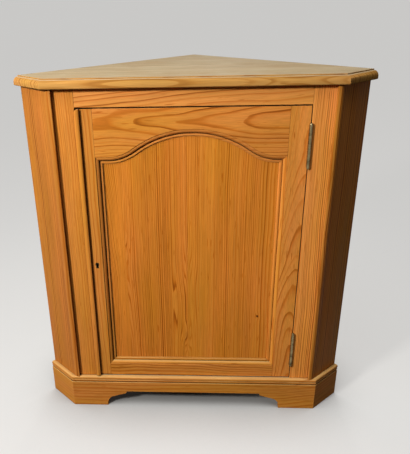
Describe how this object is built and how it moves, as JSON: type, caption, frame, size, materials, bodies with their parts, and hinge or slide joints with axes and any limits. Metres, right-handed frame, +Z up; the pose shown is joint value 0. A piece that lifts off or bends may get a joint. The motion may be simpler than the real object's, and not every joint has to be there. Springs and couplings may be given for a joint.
{
  "type": "corner cupboard",
  "caption": "Low pine corner cupboard with a moulded top, canted returns, a bracket-foot plinth, and a framed door with an arched panel that swings on butt hinges and locks with a sliding bolt.",
  "frame": {"origin": "on the floor, under the middle of the cupboard's box", "axes": "+Z up, -Y out of the front where the door opens, +Y towards the room corner, +X to the right seen from the front"},
  "size_m": [0.8364, 0.4972, 0.9],
  "materials": {
    "waxed_pine": "honey-coloured waxed pine, satin",
    "plain_pine": "plain sawn pine, matt",
    "aged_brass": "aged brass",
    "steel": "dull steel"
  },
  "bodies": {
    "carcass": {"bottom_board": "plain_pine", "bottom_rail": "waxed_pine", "closing_stop": "plain_pine", "corner_post": "plain_pine", "hinge_frame_screws": "steel", "left_back_board_1": "plain_pine", "left_back_board_2": "plain_pine", "left_back_board_3": "plain_pine", "left_bottom_cleat": "plain_pine", "left_plinth_block": "plain_pine", "left_plinth_side": "waxed_pine", "left_return": "waxed_pine", "left_shelf_cleat": "plain_pine", "left_shelf_rest": "plain_pine", "left_stile": "waxed_pine", "left_top_cleat": "plain_pine", "lower_hinge_frame_leaf": "aged_brass", "lower_hinge_pin": "aged_brass", "plinth_front": "waxed_pine", "right_back_board_1": "plain_pine", "right_back_board_2": "plain_pine", "right_back_board_3": "plain_pine", "right_bottom_cleat": "plain_pine", "right_plinth_block": "plain_pine", "right_plinth_side": "waxed_pine", "right_return": "waxed_pine", "right_shelf_cleat": "plain_pine", "right_shelf_rest": "plain_pine", "right_stile": "waxed_pine", "right_top_cleat": "plain_pine", "shelf": "plain_pine", "strike_plate": "aged_brass", "strike_screws": "steel", "top_board": "waxed_pine", "top_rail": "waxed_pine", "top_screws": "steel", "upper_hinge_frame_leaf": "aged_brass", "upper_hinge_pin": "aged_brass"},
    "door": {"closing_bead": "waxed_pine", "door_arch_moulding": "waxed_pine", "door_bottom_moulding": "waxed_pine", "door_bottom_rail": "waxed_pine", "door_hinge_stile": "waxed_pine", "door_left_moulding": "waxed_pine", "door_lock_stile": "waxed_pine", "door_panel": "waxed_pine", "door_right_moulding": "waxed_pine", "door_top_rail": "waxed_pine", "hinge_door_screws": "steel", "keyhole_lining": "aged_brass", "lock_case": "steel", "lock_faceplate": "aged_brass", "lock_screws": "steel", "lower_hinge_door_leaf": "aged_brass", "upper_hinge_door_leaf": "aged_brass"},
    "bolt": {"lock_bolt": "steel"}
  },
  "joints": [
    {"name": "door_swing", "type": "hinge", "parent": "carcass", "child": "door", "pos_m": [0.2671, -0.23253, 0.466], "axis": [0, 0, 1], "range_deg": [0, 145]},
    {"name": "bolt_slide", "type": "slide", "parent": "door", "child": "bolt", "axis": [-1, 0, 0], "range_m": [0, 0.008]}
  ]
}
